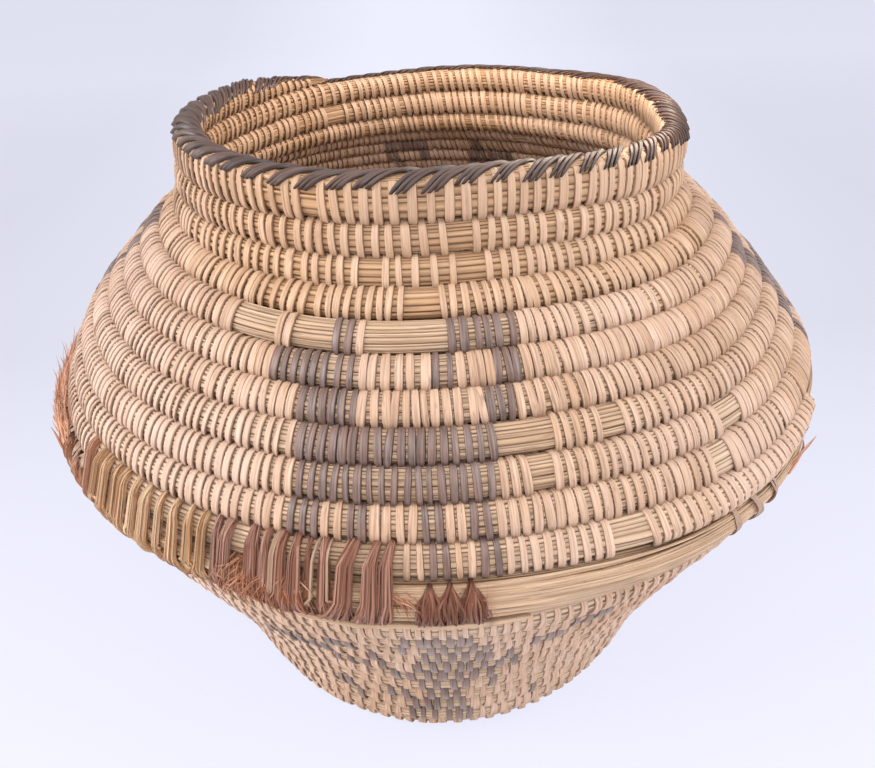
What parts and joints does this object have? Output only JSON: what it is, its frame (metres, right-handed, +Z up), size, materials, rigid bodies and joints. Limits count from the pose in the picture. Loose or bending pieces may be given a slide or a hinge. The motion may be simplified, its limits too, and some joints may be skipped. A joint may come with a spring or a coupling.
{
  "type": "storage basket",
  "caption": "Coiled straw storage basket with a short neck, sloping shoulder, bound rim and a belly coil tied on with bark fibre.",
  "frame": {"origin": "centre of the button's flat underside, on the surface that the basket stands on", "axes": "+Z up through the mouth, -Y the pictured front, +X its right"},
  "size_m": [0.5131, 0.5158, 0.4008],
  "materials": {
    "base_straw": "dry sewn straw",
    "wall_straw": "dry sewn straw",
    "exposed_straw": "bare straw, slightly glossy",
    "neck_straw": "dry sewn straw",
    "dark_splint": "dark grey-brown splint",
    "pale_splint": "pale tan splint",
    "bark": "purple-brown bark fibre",
    "ochre_bark": "ochre bark fibre",
    "red_bark": "red-brown bark fibre",
    "rod_wood": "smooth bare rod"
  },
  "bodies": {
    "root": {"base_start": "base_straw", "base_coil": "base_straw", "lower_wall_coil": "wall_straw", "ledge_rod": "rod_wood", "belly_bundle": "exposed_straw", "shoulder_coil": "wall_straw", "neck_coil": "neck_straw", "rim_coil": "neck_straw", "rim_binding": "dark_splint", "bark_lashing_1": "bark", "bark_lashing_2": "bark", "bark_lashing_3": "bark", "bark_lashing_4": "bark", "bark_lashing_5": "bark", "bark_lashing_6": "bark", "bark_lashing_7": "bark", "bark_lashing_8": "bark", "ochre_lashing_1": "ochre_bark", "ochre_lashing_2": "ochre_bark", "ochre_lashing_3": "ochre_bark", "ochre_lashing_4": "ochre_bark", "ochre_lashing_5": "ochre_bark", "red_lashing_1": "red_bark", "red_lashing_2": "red_bark", "red_lashing_3": "red_bark", "red_lashing_4": "red_bark", "fibre_tuft_1": "bark", "fibre_tuft_2": "bark", "fibre_tuft_3": "bark", "splint_tie_1": "pale_splint", "splint_tie_2": "pale_splint", "splint_tie_3": "pale_splint"}
  },
  "joints": []
}
